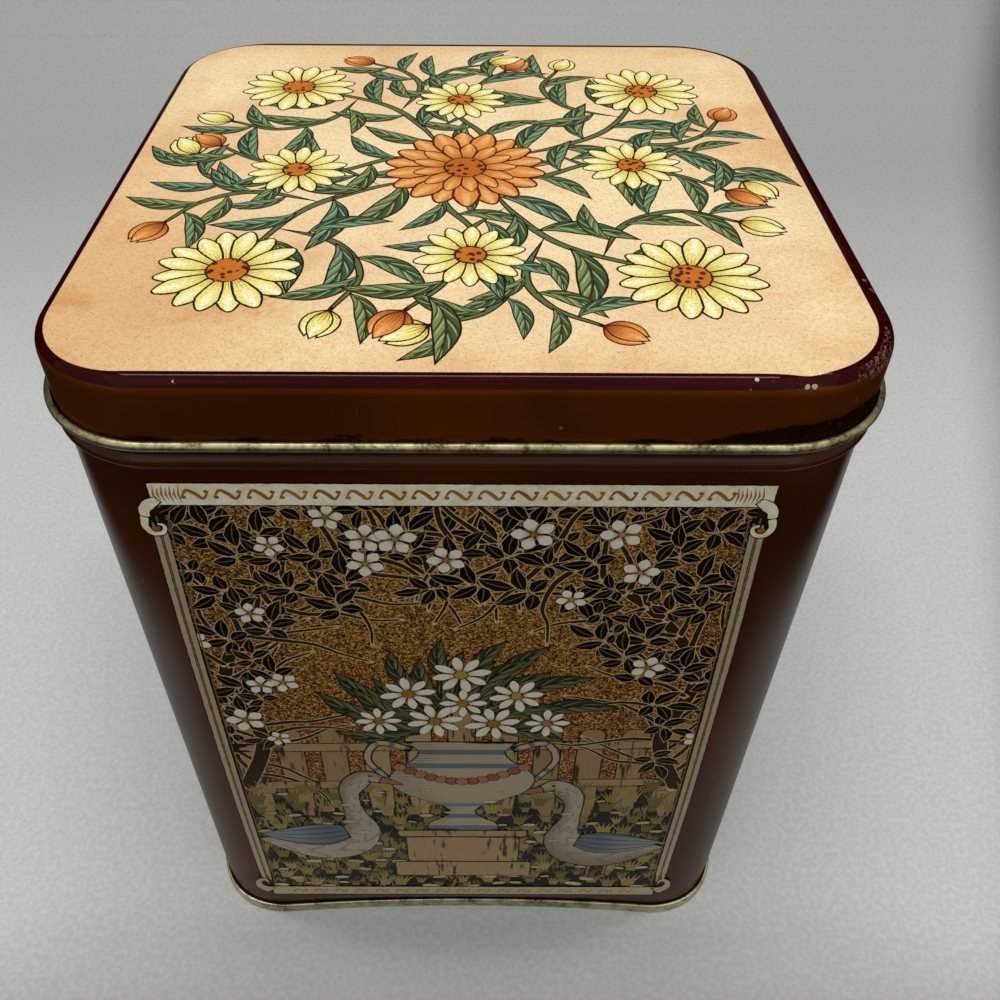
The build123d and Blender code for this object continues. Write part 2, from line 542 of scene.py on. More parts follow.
def printed_sheet(tree, printed, tarnish, knocks=None):
    """Joins the printed face of a sheet, its lacquered face and its bare knocks."""
    lacquered = tree.read("lacquered")
    colour = lacquered.blend(printed, tree.use(gold_lacquer, Tarnish=tarnish))
    metal = lacquered
    if knocks:
        colour = knocks.blend(colour, bare_tin)
        metal = lacquered | knocks
    matt = tree.use(handling, Least=0.38, Most=lacquered * -0.04 + 0.6)
    tree.shade(Base_Color=colour, Metallic=metal, Roughness=matt)
    return colour


lid_finish, tree = varnished("lid_enamel")
height = tree.axis("Z")
panel_half, panel_radius = 49.85 * MM, 11.8 * MM
print_shift = (-0.45 * MM, -0.43 * MM)
print_blur = 0.05 * MM
print_drop = 0.6 * MM
maroon_foot, maroon_full = lid_top - 1.35 * MM, lid_top - 1.1 * MM
panel_reach = tree.use(
    reach, Place=tree.place(), Middle=(*print_shift, 0), Core=panel_half - panel_radius
)
on_panel = panel_reach.ramp(panel_radius + print_blur, panel_radius - print_blur)
parchment_mask = on_panel * (height > lid_top - print_drop)

# Parchment ground of the lid's print.
parchment = tree.noise(30, 4, 0.6).ramp(0.36, 0.66)
parchment = parchment.blend((246, 224, 178), (238, 206, 160))
blush = tree.noise(62, 4, 0.7, distortion=0.4).ramp(0.46, 0.7)
parchment = (blush * 0.4).blend(parchment, (224, 168, 122))
aged_corner = (-46 * MM, -40 * MM, lid_top)
aged = tree.distance(aged_corner).ramp(40 * MM, 6 * MM)
aged = aged | (panel_reach.ramp(5 * MM, panel_radius) * 0.4)
parchment = (aged * (blush * 0.4 + 0.55)).blend(parchment, (204, 146, 78))
soft_grain = tree.noise(1300, 5, 0.85).ramp(0.42, 0.7)
parchment = (soft_grain * 0.34).blend(parchment, (186, 132, 84))
fine_grain = tree.noise(3600, 2, 0.7).ramp(0.54, 0.7)
parchment = (fine_grain * 0.42).blend(parchment, (132, 86, 48))
dots = tree.noise(1900, 0).ramp(0.78, 0.82)
parchment = (dots * 0.35).blend(parchment, (78, 50, 28))

edge_zone = height.ramp(maroon_foot, maroon_full)
enamel = tree.use(enamel_tone, Colour=edge_zone.blend(brown, maroon), Rubbed=rubbed_brown)
printed = parchment_mask.blend(enamel, parchment)

# Knocks along the lid's drawn edge, as (x, y, z, size) in millimetres.
on_edge = (panel_reach > panel_radius + 0.7 * MM) * (height > lid_top - 2 * MM)
knocks = tree.noise(520, 4, 0.7).ramp(0.7, 0.735) * on_edge
for *spot, size in (
    (38.4, -51.4, 138.9, 0.36),
    (39.3, -51.3, 138.9, 0.4),
    (32.6, -51.0, 139.6, 0.28),
    (50.9, -33.0, 139.7, 0.4),
    (50.5, -30.9, 139.8, 0.3),
    (-49.1, -45.7, 139.3, 0.3),
    (11.1, -52.1, 133.3, 0.25),
):
    middle = [value * MM for value in spot]
    knocks = knocks | tree.use(knock, Middle=middle, Size=size * MM)

# Grime caught over the curl, highest at the right-hand corner, and scuffs there.
grime_depth, corner_depth, smear_depth = 1.3 * MM, 3.4 * MM, 5 * MM
from_corner = tree.distance((47 * MM, -47 * MM, lid_low.z))
grime_top = from_corner.ramp(26 * MM, 3 * MM) * corner_depth + (lid_low.z + grime_depth)
smears = tree.noise(420, 5, 0.7, stretch=(0.35, 0.35, 1.0)) - 0.5
grime = (height - (grime_top + smears * smear_depth)).ramp(0.35 * MM, -0.35 * MM)
flaked = tree.noise(1500, 3, 0.8).ramp(0.66, 0.6)
grime = grime * (flaked | from_corner.ramp(6 * MM, 16 * MM))
printed = (grime * 0.88).blend(printed, (14, 9, 5))
scuffed_corner = (46.3 * MM, -44.4 * MM, lid_top)
scuffs = tree.noise(2300, 3, 0.8).ramp(0.5, 0.6)
scuffs = scuffs * tree.use(knock, Middle=scuffed_corner, Size=5.0 * MM) * on_edge
printed = (scuffs * 0.7).blend(printed, (150, 116, 100))
tree.shade(Coat_Weight=(grime | scuffs) * -0.13 + lid_gloss)
printed_sheet(tree, printed, 0.85, knocks)

lid_sheet = carried_round("lid_sheet", lid_line, skirt_half, skirt_corner_radius, lid_finish)
dent_middle = Vector((38.9, -51.6)) * MM
dent_width, dent_run = 2.6 * MM, 2.0 * MM
dent_depth, dent_push, dent_reach = 0.42 * MM, 0.3 * MM, 4 * MM
for vertex in lid_sheet.vertices:
    if vertex.co.z > lid_top - dent_reach:
        off = Vector(vertex.co.xy) - dent_middle
        dip = math.exp(-((off.x / dent_width) ** 2) - (off.y / dent_run) ** 2)
        vertex.co.z -= dent_depth * dip
        vertex.co.y += dent_push * dip
close_sheet(lid_sheet)
lid = finish_object("lid_sheet", lid_sheet)
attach(lid, "lid")
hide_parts("slip_lid")


# Body wall. One printed sheet wrapped into a tube. Its top turns in as a level
# rim that carries the lid, a rolled bead below the lid stops it, and its foot is
# drawn in and hooked out and up inside the seam that holds the bottom end.
wall_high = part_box("body_wall")[1]
bead_proud = 0.8 * MM
bead_height = 3.0 * MM
bead_crest_radius = 0.95 * MM
bead_below_lid = 1.1 * MM
wall_half = wall_high.x - bead_proud
wall_corner_radius = skirt_corner_radius - (skirt_half - wall_half)
rim_bend_radius = 2.4 * MM
rim_land = 1.2 * MM
rim_fold_radius = 0.5 * MM
rim_return = 1.0 * MM
rim_top = wall_high.z
bead_bottom = lid_low.z - bead_below_lid - bead_height
draw_in_top = 10.0 * MM
draw_in_corner = 0.6 * MM
draw_in_side = 1.3 * MM
foot_corner_radius = 12.3 * MM
corner_ease = (wall_corner_radius - draw_in_corner - foot_corner_radius) * (math.sqrt(2) - 1)
seam_height = 2.8 * MM
seam_clearance = 0.02 * MM
layer = sheet + seam_clearance
hook_turn_height = 2 * layer + sheet / 2
hook_run = seam_height - layer - sheet / 2 - seam_clearance - hook_turn_height
foot_rows = 14


def limited(value, least=0.0, most=1.0):
    return min(max(value, least), most)


def foot_pull(height):
    """How much of the draw-in the wall has at a height."""
    return limited((draw_in_top - height) / (draw_in_top - seam_height)) ** 2


def drawn_in(x, y, pull):
    """Where a point of the straight tube goes when its foot is drawn in."""
    middle = wall_half - wall_corner_radius
    inner_x = limited(x, -middle, middle)
    inner_y = limited(y, -middle, middle)
    outward = Vector((x - inner_x, y - inner_y)).normalized()
    corner = draw_in_corner - corner_ease * (2 * outward.x * outward.y) ** 2
    side = draw_in_side * (2 - (inner_x / middle) ** 2 - (inner_y / middle) ** 2)
    return Vector((x, y)) - outward * pull * (corner + side)


def draw_in_foot(mesh):
    pulled = mesh.attributes["pull"].data
    for vertex in mesh.vertices:
        pull = pulled[vertex.index].value
        if pull > 0:
            vertex.co.x, vertex.co.y = drawn_in(vertex.co.x, vertex.co.y, pull)


bead_swing = 2 * math.atan(bead_proud / (bead_height / 2))
bead_crest = bead_crest_radius - sheet / 2
bead_root = bead_height / 2 / math.sin(bead_swing) - bead_crest
swing = math.degrees(bead_swing)
wall_line = section_line(
    "wall section",
    folded(
        2 * layer - sheet / 2,
        hook_turn_height + hook_run,
        -90,
        [hook_run, (layer, -180)]
        + [(draw_in_top - hook_turn_height) / foot_rows] * foot_rows
        + [bead_bottom - draw_in_top]
        + [(bead_root, -swing), (bead_crest, 2 * swing), (bead_root, -swing)]
        + [rim_top - rim_bend_radius - bead_bottom - bead_height]
        + [(rim_bend_radius - sheet / 2, 90), rim_land]
        + [(rim_fold_radius - sheet / 2, 90), rim_return],
    ),
    "left",
    pull=lambda point: foot_pull(point.y),
)
wall_gloss = 0.33
wall_finish, wall_tree = varnished("wall_enamel", gloss=wall_gloss)
height = wall_tree.axis("Z")
wall_brown = (76, 35, 3)
enamel = wall_tree.use(enamel_tone, Colour=wall_brown, Rubbed=rubbed_brown)

# Scuffs round the neck where the lid slides, painted shade in a patchy band just above
# the foot seam where the wall tucks into it, and the bare margin by the side seam.
neck = height.ramp(lid_low.z - 0.5 * MM, lid_low.z + 1.5 * MM)
slide_marks = wall_tree.noise(1700, 3, 0.75, stretch=(1.0, 1.0, 0.08)).ramp(0.58, 0.68)
enamel = (neck * slide_marks * 0.45).blend(enamel, rubbed_brown)
# Painted shade: a patchy near-black band just above the foot seam.
foot_seam_shade = height.ramp(seam_height + 1.6 * MM, seam_height)
foot_seam_shade = foot_seam_shade * wall_tree.noise(600, 4, 0.7).ramp(0.4, 0.65)
enamel = (foot_seam_shade * 0.8).blend(enamel, (10, 7, 5))
seam_middle = -26.0 * MM
seam_half = 1.7 * MM
margin_inner, margin_outer = seam_half + 0.65 * MM, seam_half + 0.75 * MM
bare_margin = abs(wall_tree.axis("X") - seam_middle).ramp(margin_outer, margin_inner)
bare_margin = bare_margin * (wall_tree.axis("Y") > wall_half - 3 * MM)
margin_gold = wall_tree.use(gold_lacquer, Tarnish=0.5)
wall_colour = printed_sheet(wall_tree, bare_margin.blend(enamel, margin_gold), 0.4)
wall_sheet = carried_round("wall_sheet", wall_line, wall_half, wall_corner_radius, wall_finish)
draw_in_foot(wall_sheet)
close_sheet(wall_sheet)

# Outside line of the side seam, where one end of the sheet tucks behind the other.
groove_half = 0.175 * MM
groove_depth = 0.1 * MM
groove_at = seam_middle + seam_half
cutter_mesh = bpy.data.meshes.new("groove cutter")
cutter = bmesh.new()
bmesh.ops.create_cube(cutter, size=1.0)
cutter.to_mesh(cutter_mesh)
cutter.free()
cutter_size = Vector((2 * groove_half, 2 * groove_depth, bead_bottom - draw_in_top))
for vertex in cutter_mesh.vertices:
    vertex.co = vertex.co * cutter_size
    vertex.co += Vector((groove_at, wall_half, (draw_in_top + bead_bottom) / 2))
cutting = finish_object("groove_cutter", cutter_mesh)
wall = finish_object("wall_sheet", wall_sheet)
groove = wall.modifiers.new("groove", "BOOLEAN")
groove.object = cutting
groove.operation = "DIFFERENCE"
groove.solver = "EXACT"
grooved = bpy.data.meshes.new_from_object(
    wall.evaluated_get(bpy.context.evaluated_depsgraph_get())
)
wall.modifiers.clear()
wall.data = grooved
grooved.name = "wall_sheet"
bpy.data.objects.remove(cutting)
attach(wall, "tin")
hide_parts("body_wall")


# Side seam, inside. The two ends of the sheet hook together and are hammered
# flat, which leaves a strip three sheets thick down the inside of the back.
seam_thickness = 3 * sheet
seam_fold = 0.32 * MM
seam_fold_steps = 4
seam_foot = 4.45 * MM
seam_top = rim_top - rim_bend_radius
seam_sink = 0.08 * MM
seam_rows = [seam_foot + (draw_in_top - seam_foot) * row / 8 for row in range(9)] + [seam_top]
inner_face = wall_half - sheet
seam_section = [(-seam_half, seam_sink)]
for side in (-1, 1):
    for step in range(seam_fold_steps + 1):
        turned_by = step if side < 0 else seam_fold_steps - step
        angle = math.pi / 2 * turned_by / seam_fold_steps
        across = side * (seam_half - seam_fold + seam_fold * math.cos(angle))
        seam_section.append((across, -seam_thickness + seam_fold - seam_fold * math.sin(angle)))
seam_section.append((seam_half, seam_sink))
strip_points = []
for height in seam_rows:
    for x, depth in seam_section:
        at = drawn_in(seam_middle + x, inner_face + depth, foot_pull(height))
        strip_points.append((at.x, at.y, height))
width = len(seam_section)
last_row = len(strip_points) - width
strip_faces = []
for row in range(0, last_row, width):
    for column in range(width):
        near, far = row + column, row + (column + 1) % width
        strip_faces.append((near, far, far + width, near + width))
strip_faces.append(tuple(range(width))[::-1])
strip_faces.append(tuple(range(last_row, last_row + width)))
seam_strip = bpy.data.meshes.new("side_seam")
seam_strip.from_pydata(strip_points, [], strip_faces)
set_marks(seam_strip, lacquered=[1.0] * len(strip_points))
seam_strip.shade_smooth()
close_sheet(seam_strip)
side_seam = finish_object("side_seam", seam_strip, wall_finish)
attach(side_seam, "tin")


# Bottom end. Gold-lacquered sheet, countersunk, with a raised middle that keeps
# it from drumming. Its rim is folded over the wall's hook as a double seam, and
# the tin stands on that seam.
countersink = 3.4 * MM
countersink_radius = 0.8 * MM
margin_width = 9.0 * MM
step_height = 0.9 * MM
step_run = 1.6 * MM
step_land = 0.6 * MM
step_corner_radius = 7.0 * MM
seam_fold_radius = 0.35 * MM
margin_rows = 5
level_band = 2.0 * MM
margin_height = countersink + sheet / 2
inner_line = -layer - sheet / 2
outer_line = 2.5 * sheet + 3 * seam_clearance
cover_turn = seam_height - layer - sheet / 2
step_half = wall_half - draw_in_corner - margin_width
margin_run = wall_half - step_half - level_band - countersink_radius + inner_line


def margin_pull(point):
    """The seam is drawn in with the wall, and the margin less and less inward."""
    return limited((point.x - inner_line + countersink_radius) / margin_run + 1) ** 2


rim_line = section_line(
    "end section",
    folded(
        inner_line - countersink_radius - margin_run,
        margin_height,
        0,
        [margin_run / margin_rows] * margin_rows
        + [(countersink_radius, -90)]
        + [margin_height - countersink_radius - seam_fold_radius - sheet / 2]
        + [(seam_fold_radius, 90), outer_line - inner_line - 2 * seam_fold_radius]
        + [(seam_fold_radius, 90), cover_turn - seam_fold_radius - sheet / 2]
        + [(layer, 180), cover_turn - hook_turn_height - seam_clearance],
    ),
    "left",
    raw_start=False,
    pull=margin_pull,
)
step_swing = 2 * math.atan(step_height / step_run)
step_bend = step_run / 2 / math.sin(step_swing)
swing = math.degrees(step_swing)
step_line = section_line(
    "step section",
    folded(0, margin_height, 180, [(step_bend, -swing), (step_bend, swing), step_land]),
    "left",
    raw_start=False,
    raw_end=False,
)
end_finish, tree = new_material(
    "gold_lacquer", Metallic=1.0, Coat_Weight=0.4, Coat_Roughness=0.08
)
handled = tree.axis("Z").ramp(seam_height + 0.5 * MM, seam_height)
tree.shade(
    Base_Color=tree.use(gold_lacquer, Tarnish=handled * 0.55 + 0.35),
    Roughness=tree.use(handling, Least=0.24, Most=0.5),
)
tree.bump(tree.noise(1800, 2, stretch=(0.1, 1.0, 1.0)), 0.15, 0.02 * MM)
end_sheet = carried_round("end_sheet", rim_line, wall_half, wall_corner_radius, end_finish)
draw_in_foot(end_sheet)
step_sheet = carried_round("end step", step_line, step_half, step_corner_radius, end_finish)

# The rim and the step are bridged into one sheet, and the middle is filled.
shell = bmesh.new()
shell.from_mesh(end_sheet)
shell.from_mesh(step_sheet)
waiting = {edge for edge in shell.edges if edge.is_boundary}
rings = []
while waiting:
    ring = [waiting.pop()]
    end_vertex = ring[0].verts[1]
    while following := [edge for edge in end_vertex.link_edges if edge in waiting]:
        waiting.discard(following[0])
        ring.append(following[0])
        end_vertex = following[0].other_vert(end_vertex)
    rings.append(ring)
rings.sort(key=lambda ring: -sum(edge.calc_length() for edge in ring))
by_height = [
    sorted(pair, key=lambda ring: ring[0].verts[0].co.z) for pair in (rings[0:2], rings[2:4])
]
for outer, inner in zip(*by_height):
    bmesh.ops.bridge_loops(shell, edges=outer + inner)
for ring in rings[4:6]:
    bmesh.ops.holes_fill(shell, edges=ring, sides=0)
for face in shell.faces:
    face.smooth = True
shell.to_mesh(end_sheet)
shell.free()
close_sheet(end_sheet)
end = finish_object("end_sheet", end_sheet)
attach(end, "tin")
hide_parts("bottom_end")


# Lid print. A garland in oil-based litho inks on the parchment ground: scrolling
# stems, two-toned leaves, pale yellow daisies and buds round one orange rose.
# Each shape is a skin of ink a few hundredths of a millimetre thick.
ink_step = 0.003
ink_skin = 0.05
stroke_lift = 0.0003


def smooth_path(knots, steps=7):
    """Points of a smooth line through a few knots."""
    knots = [Vector(knot) for knot in knots]
    padded = [2 * knots[0] - knots[1]] + knots + [2 * knots[-1] - knots[-2]]
    points = []
    for a, b, c, d in zip(padded, padded[1:], padded[2:], padded[3:]):
        for step in range(steps):
            t = step / steps
            bent = 2 * b + (c - a) * t + (2 * a - 5 * b + 4 * c - d) * t**2
            points.append(0.5 * (bent + (3 * b - a - 3 * c + d) * t**3))
    return points + [knots[-1]]


def swell(*halves):
    """Half width of a stroke along its length, through evenly spaced values."""
    knots = [(index / (len(halves) - 1), half) for index, half in enumerate(halves)]
    line = smooth_path(knots, 12)

    def half_at(share):
        at = share * (len(line) - 1)
        low = min(int(at), len(line) - 2)
        return max(0.0, line[low].y + (line[low + 1].y - line[low].y) * (at - low))

    return half_at


class Ink:
    """Strokes of ink in the plane of the print, in millimetres, as closed skins.

    Every point knows how far along and across its stroke it lies, its distance
    to the stroke's edge, and the stroke's tone. A level counts steps off the sheet.
    """

    def __init__(self, step=ink_step):
        self.step = step
        self.points = []
        self.faces = []
        self.marks = {"along": [], "across": [], "edge": [], "tone": []}
        self.lift = 0.0

    def stroke(self, spine, half_at, level=0, tone=0.5, rim=0.35, columns=5):
        """One stroke down a spine, with a half width that varies along it."""
        self.lift += stroke_lift
        top = level * self.step + self.lift
        spine = [Vector(point) for point in spine]
        lengths = [0.0]
        for before, after in zip(spine, spine[1:]):
            lengths.append(lengths[-1] + (after - before).length)
        total = lengths[-1]
        loops = []
        for index, centre in enumerate(spine):
            ahead = spine[min(index + 1, len(spine) - 1)]
            behind = spine[max(index - 1, 0)]
            left = (ahead - behind).normalized().orthogonal()
            share = lengths[index] / total
            half = half_at(share)
            inner = max(1 - rim / half, 0.35) if half > 0 else 0
            offsets = [-1, -inner, 0, inner, 1] if columns == 5 else [-1, 1]
            to_end = min(lengths[index], total - lengths[index])
            if half < 0.01:
                row = [self.point(centre, top, share, 0, 0, tone)] * len(offsets)
                under = [self.point(centre, top - ink_skin, share, 0, 0, tone)] * 2
            else:
                row = []
                for offset in offsets:
                    edge = rim if columns == 2 else min(half * (1 - abs(offset)), to_end)
                    spot = centre + left * half * offset
                    row.append(self.point(spot, top, share, offset, edge, tone))
                under = [
                    self.point(centre + left * half * side, top - ink_skin, share, side, 0, tone)
                    for side in (-1, 1)
                ]
            loops.append(row + under[::-1])
        for loop, following in zip(loops, loops[1:]):
            for i in range(len(loop)):
                self.face(loop[i - 1], loop[i], following[i], following[i - 1])
        self.face(*loops[0][::-1])
        self.face(*loops[-1])

    def disc(self, centre, radius, level=0, tone=0.5, rim=0.3, sides=14, squash=1.0):
        """A round spot, as a stroke whose half width follows a circle."""
        half_turn = sides // 2
        spine = [
            (centre[0], centre[1] - radius * squash * math.cos(math.pi * step / half_turn))
            for step in range(half_turn + 1)
        ]

        def half_at(share):
            return radius * math.sqrt(max(0.0, 1 - (2 * share - 1) ** 2))

        self.stroke(spine, half_at, level, tone, rim)

    def point(self, place, height, *marks):
        self.points.append((place[0], place[1], height))
        for values, value in zip(self.marks.values(), marks):
            values.append(value)
        return len(self.points) - 1

    def face(self, *corners):
        once = [corner for i, corner in enumerate(corners) if corner != corners[i - 1]]
        if len(once) > 2:
            self.faces.append(once)

    def mesh(self, name, finish=None, tones=True):
        mesh = bpy.data.meshes.new(name)
        mesh.from_pydata(self.points, [], self.faces)
        marks = dict(self.marks)
        if not tones:
            del marks["tone"]
        set_marks(mesh, **marks)
        if finish:
            mesh.materials.append(finish)
        return mesh


# Geometry Nodes tree that prints one motif at every point, each a little different.
stamp, given = new_group(
    "motif at every point",
    "Geometry",
    Points="Geometry",
    Motif="Object",
    Size_spread="Float",
    Turn_spread="Float",
    Seed="Int",
    Finish="Material",
)


def varied(low, high, seed_step):
    """A random value for each point, between two limits."""
    limits = {2: low, 3: high, 8: given["Seed"] + seed_step}
    return stamp.add("FunctionNodeRandomValue", limits, 1, data_type="FLOAT")


def named(mark):
    return stamp.add("GeometryNodeInputNamedAttribute", {"Name": mark}, data_type="FLOAT")


turn_spread, size_spread = given["Turn spread"], given["Size spread"]
turn = named("turn") + varied(turn_spread * -1.0, turn_spread, 1)
size = named("size") * varied(size_spread * -1.0 + 1.0, size_spread + 1.0, 2)
settings = {
    "Points": given["Points"],
    "Instance": stamp.add("GeometryNodeObjectInfo", {"Object": given["Motif"]}, "Geometry"),
    "Rotation": stamp.add("ShaderNodeCombineXYZ", {"Z": turn}),
    "Scale": size,
}
prints = stamp.add("GeometryNodeInstanceOnPoints", settings)
settings = {"Geometry": prints, "Name": "tone", "Value": varied(0.0, 1.0, 3)}
prints = stamp.add(
    "GeometryNodeStoreNamedAttribute", settings, data_type="FLOAT", domain="INSTANCE"
)
close_geometry(stamp, prints, given["Finish"], "Print")


class Stamps:
    """Places to print a motif, each a hair above the one before, so that none coincide."""

    def __init__(self, motif, seed, level, lift=0.0, size_spread=0.0, turn_spread=0.0):
        self.motif = motif
        self.level = level
        self.lift = lift
        self.spread = {"Seed": seed, "Size_spread": size_spread, "Turn_spread": turn_spread}
        self.rows = []

    def add(self, x, y, turn=0.0, size=1.0, up=0.0):
        """One place, with the motif's turn and size there, and how far it is lifted."""
        height = self.level + len(self.rows) * self.lift + up
        self.rows.append((x, y, height, turn, size))

    def mesh(self, name, finish):
        points = bpy.data.meshes.new(name + " points")
        points.from_pydata([row[:3] for row in self.rows], [], [])
        set_marks(points, turn=[row[3] for row in self.rows], size=[row[4] for row in self.rows])
        holder = finish_object(name + " motif", self.motif.mesh(name + " motif", tones=False))
        mesh = evaluated_mesh(name, points, stamp, Motif=holder, Finish=finish, **self.spread)
        bpy.data.objects.remove(holder)
        return mesh


def lid_ink(name, drawn, finish):
    """Lays strokes or stamps on the lid's panel, as a piece of its own."""
    mesh = drawn.mesh(name, finish)
    for vertex in mesh.vertices:
        x, y, height = vertex.co
        vertex.co = (x * MM + print_shift[0], y * MM + print_shift[1], lid_top + height * MM)
    piece = finish_object(name, mesh)
    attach(piece, "lid")


# Keyline: the dark line that the key plate prints round every shape.
keyline, given = new_group("keyline", "Shader", Fill="Color", Line="Color", Width="Float")
shaky_edge = keyline.read("edge") + (keyline.noise(1400, 2) - 0.5) * 0.22
inside = (shaky_edge - given["Width"]).ramp(-0.04, 0.04)
close_group(keyline, "Color", inside.blend(given["Line"], given["Fill"]))

# Litho grain: specks of the ground that show through an ink film.
grain, given = new_group("litho grain", "Shader", Colour="Color", Speck="Color", Amount="Float")
speck = grain.noise(2200, 4, 0.8).ramp(0.46, 0.7) * given["Amount"]
close_group(grain, "Color", speck.blend(given["Colour"], given["Speck"]))

# Veins: lines that slant off a middle rib, with one half of the leaf in shade.
veins, given = new_group(
    "veins", "Shader", Fill="Color", Shaded="Color", Line="Color", Light="Color", Count="Float"
)
across = veins.read("across")
off_rib = abs(across)
beat = ((veins.read("along") - off_rib * 0.3) * given["Count"]).step("FRACT")
glint = abs(beat - 0.82).ramp(0.12, 0.05) * off_rib.ramp(0.85, 0.5)
shown = across.ramp(-0.12, 0.12).blend(given["Fill"], given["Shaded"])
shown = (glint * 0.75).blend(shown, given["Light"])
shown = (abs(beat - 0.5).ramp(0.16, 0.08) * 0.8).blend(shown, given["Line"])
close_group(veins, "Color", off_rib.ramp(0.13, 0.07).blend(shown, given["Line"]))

key_black = (38, 24, 14)
ground_speck = (120, 70, 30)


def ink_finish(name, fill, width=0.32, line=key_black, amount=0.5, gloss=lid_gloss):
    """Varnished ink: a fill, a keyline round it and litho grain.

    The fill is a function of the node tree, or two colours that the tone goes between.
    """
    material, tree = varnished(name, gloss)
    colour = fill(tree) if callable(fill) else tree.read("tone").blend(*fill)
    colour = tree.use(grain, Colour=colour, Speck=ground_speck, Amount=amount)
    tree.shade(Base_Color=tree.use(keyline, Fill=colour, Line=line, Width=width))
    return material


def leaf_fill(tree):
    tone = tree.read("tone")
    return tree.use(
        veins,
        Fill=tone.blend((118, 138, 84), (92, 140, 118)),
        Shaded=tone.blend((58, 86, 52), (40, 88, 78)),
        Line=(34, 44, 26),
        Light=(186, 194, 120),
        Count=5.0,
    )


def petal_fill(tree):
    along, across = tree.read("along"), tree.read("across")
    fill = along.ramp(0.0, 0.3).blend((206, 150, 60), (240, 226, 130))
    glow = abs(across).ramp(0.55, 0.1) * along.ramp(0.35, 0.7)
    streak = across.waves(16.0).ramp(0.55, 0.9) * along.ramp(0.5, 0.15)
    return streak.blend(glow.blend(fill, (252, 246, 205)), (120, 70, 24))


def orange_fill(tree):
    along, across = tree.read("along"), tree.read("across")
    fill = along.ramp(0.0, 0.5).blend((160, 76, 30), (220, 138, 66))
    glow = abs(across).ramp(0.5, 0.1) * along.ramp(0.4, 0.8)
    streak = across.waves(20.0).ramp(0.6, 0.9) * along.ramp(0.6, 0.2)
    return streak.blend(glow.blend(fill, (238, 182, 112)), (86, 32, 12))


def centre_fill(tree):
    fill = tree.read("tone").blend((206, 120, 44), (188, 98, 34))
    return tree.cells(900.0).ramp(0.42, 0.3).blend(fill, (70, 34, 16))


stem_tones = (96, 118, 66), (70, 104, 72)
stem_ink = ink_finish("stem_ink", stem_tones, width=0.24)
leaf_ink = ink_finish("leaf_ink", leaf_fill)
petal_ink = ink_finish("petal_ink", petal_fill)
orange_ink = ink_finish("orange_ink", orange_fill, line=(84, 30, 10))
centre_ink = ink_finish("centre_ink", centre_fill, width=0.3, line=(66, 28, 12))

leaf_motif = Ink()
leaf_spine = smooth_path([(0, 0), (4.5, 1.5), (10.5, 0.9), (17.5, -2.2)], 5)
leaf_motif.stroke(leaf_spine, swell(0, 1.7, 2.35, 1.5, 0), rim=0.45)
petal_motif = Ink()
petal_motif.stroke(
    [(out, 0) for out in (0, 1.4, 2.8, 4.2, 5.5, 6.6, 7.3, 7.8, 8.1, 8.2)],
    lambda share: 1.75 * math.sin(math.pi * share**0.8 / 1.75) * min(1, 3.2 * (1 - share)) ** 0.5,
    rim=0.4,
)
bud_motif = Ink()
for side in (-1, 1):
    cheek = smooth_path([(0, 0), (2.2, 1.5 * side), (5.0, 1.7 * side), (7.6, 0.9 * side)], 3)
    bud_motif.stroke(cheek, swell(0.4, 1.5, 1.3, 0))
bud_motif.stroke([(out, 0) for out in range(9)], swell(0.4, 1.7, 2.0, 1.4, 0), 1)


def quarter_turned(point, quarter):
    """A point turned round the lid by quarters."""
    x, y = point
    for _ in range(quarter):
        x, y = -y, x
    return x, y


def place_flower(petals, x, y, count, size, up=0.0, start=0.2):
    """Petals of one open flower, each a hair above the one before."""
    for petal in range(count):
        around = 2 * math.pi * petal / count + start
        at = Vector((x, y)) + aimed(around, 1.4 * size)
        lift = up + (petal % 2) * ink_step + petal * stroke_lift
        petals.add(at.x, at.y, around, size, lift)


stems = Ink()
centres = Ink()
leaves = Stamps(leaf_motif, 3, 3 * ink_step, stroke_lift / 2, 0.12, 0.22)
petals = Stamps(petal_motif, 5, 12 * ink_step, 0, 0.05, 0.05)
buds = Stamps(bud_motif, 7, 9 * ink_step, 0, 0.05, 0.1)
orange_buds = Stamps(bud_motif, 8, 9 * ink_step, 0, 0.05, 0.1)
orange_petals = Stamps(petal_motif, 9, 12 * ink_step, 0, 0.04, 0.03)
sprays = (
    ([(4, 3), (14, 7), (23, 14), (30, 29)], 0.8),
    ([(0, 0), (3, 10), (-1, 18), (-1, 24)], 0.62),
    ([(-1, 24), (-6, 31), (-3, 38), (4, 41)], 0.6),
    ([(20, 11), (30, 8), (37, 11), (41, 17)], 0.6),
    ([(12, 6), (20, 0), (31, -2), (38, -7)], 0.72),
    ([(26, 18), (17, 22), (13, 30), (16, 38)], 0.66),
)
for quarter in range(4):
    for knots, leaf_size in sprays:
        line = smooth_path([quarter_turned(knot, quarter) for knot in knots], 8)
        stems.stroke(line, swell(0, 0.62, 0.55, 0.35), 1, rim=0.25)
        for index in range(4, len(line) - 1, 4):
            heading = line[index + 1] - line[index]
            side = 1 if index % 8 else -1
            turn = math.atan2(heading.y, heading.x) + side * 0.8
            leaves.add(line[index].x, line[index].y, turn, leaf_size)
    for places, knot, aim, size in (
        (buds, (4, 41), 0.5, 0.85),
        (buds, (16, 38), 1.2, 0.8),
        (orange_buds, (41, 17), 1.1, 0.75),
        (orange_buds, (38, -7), -0.6, 0.8),
    ):
        places.add(*quarter_turned(knot, quarter), aim + quarter * math.pi / 2, size)
    for knot, size, count in (((30, 29), 1.0, 16), ((-1, 25), 0.78, 14)):
        middle = quarter_turned(knot, quarter)
        place_flower(petals, *middle, count, size)
        centres.disc(middle, 2.9 * size, 15, tone=0.4)
place_flower(orange_petals, 0, 0, 18, 1.25)
place_flower(orange_petals, 0, 0, 13, 0.84, 2.5 * ink_step, 0.5)
centres.disc((0, 0), 3.3, 16.5, tone=0.9)

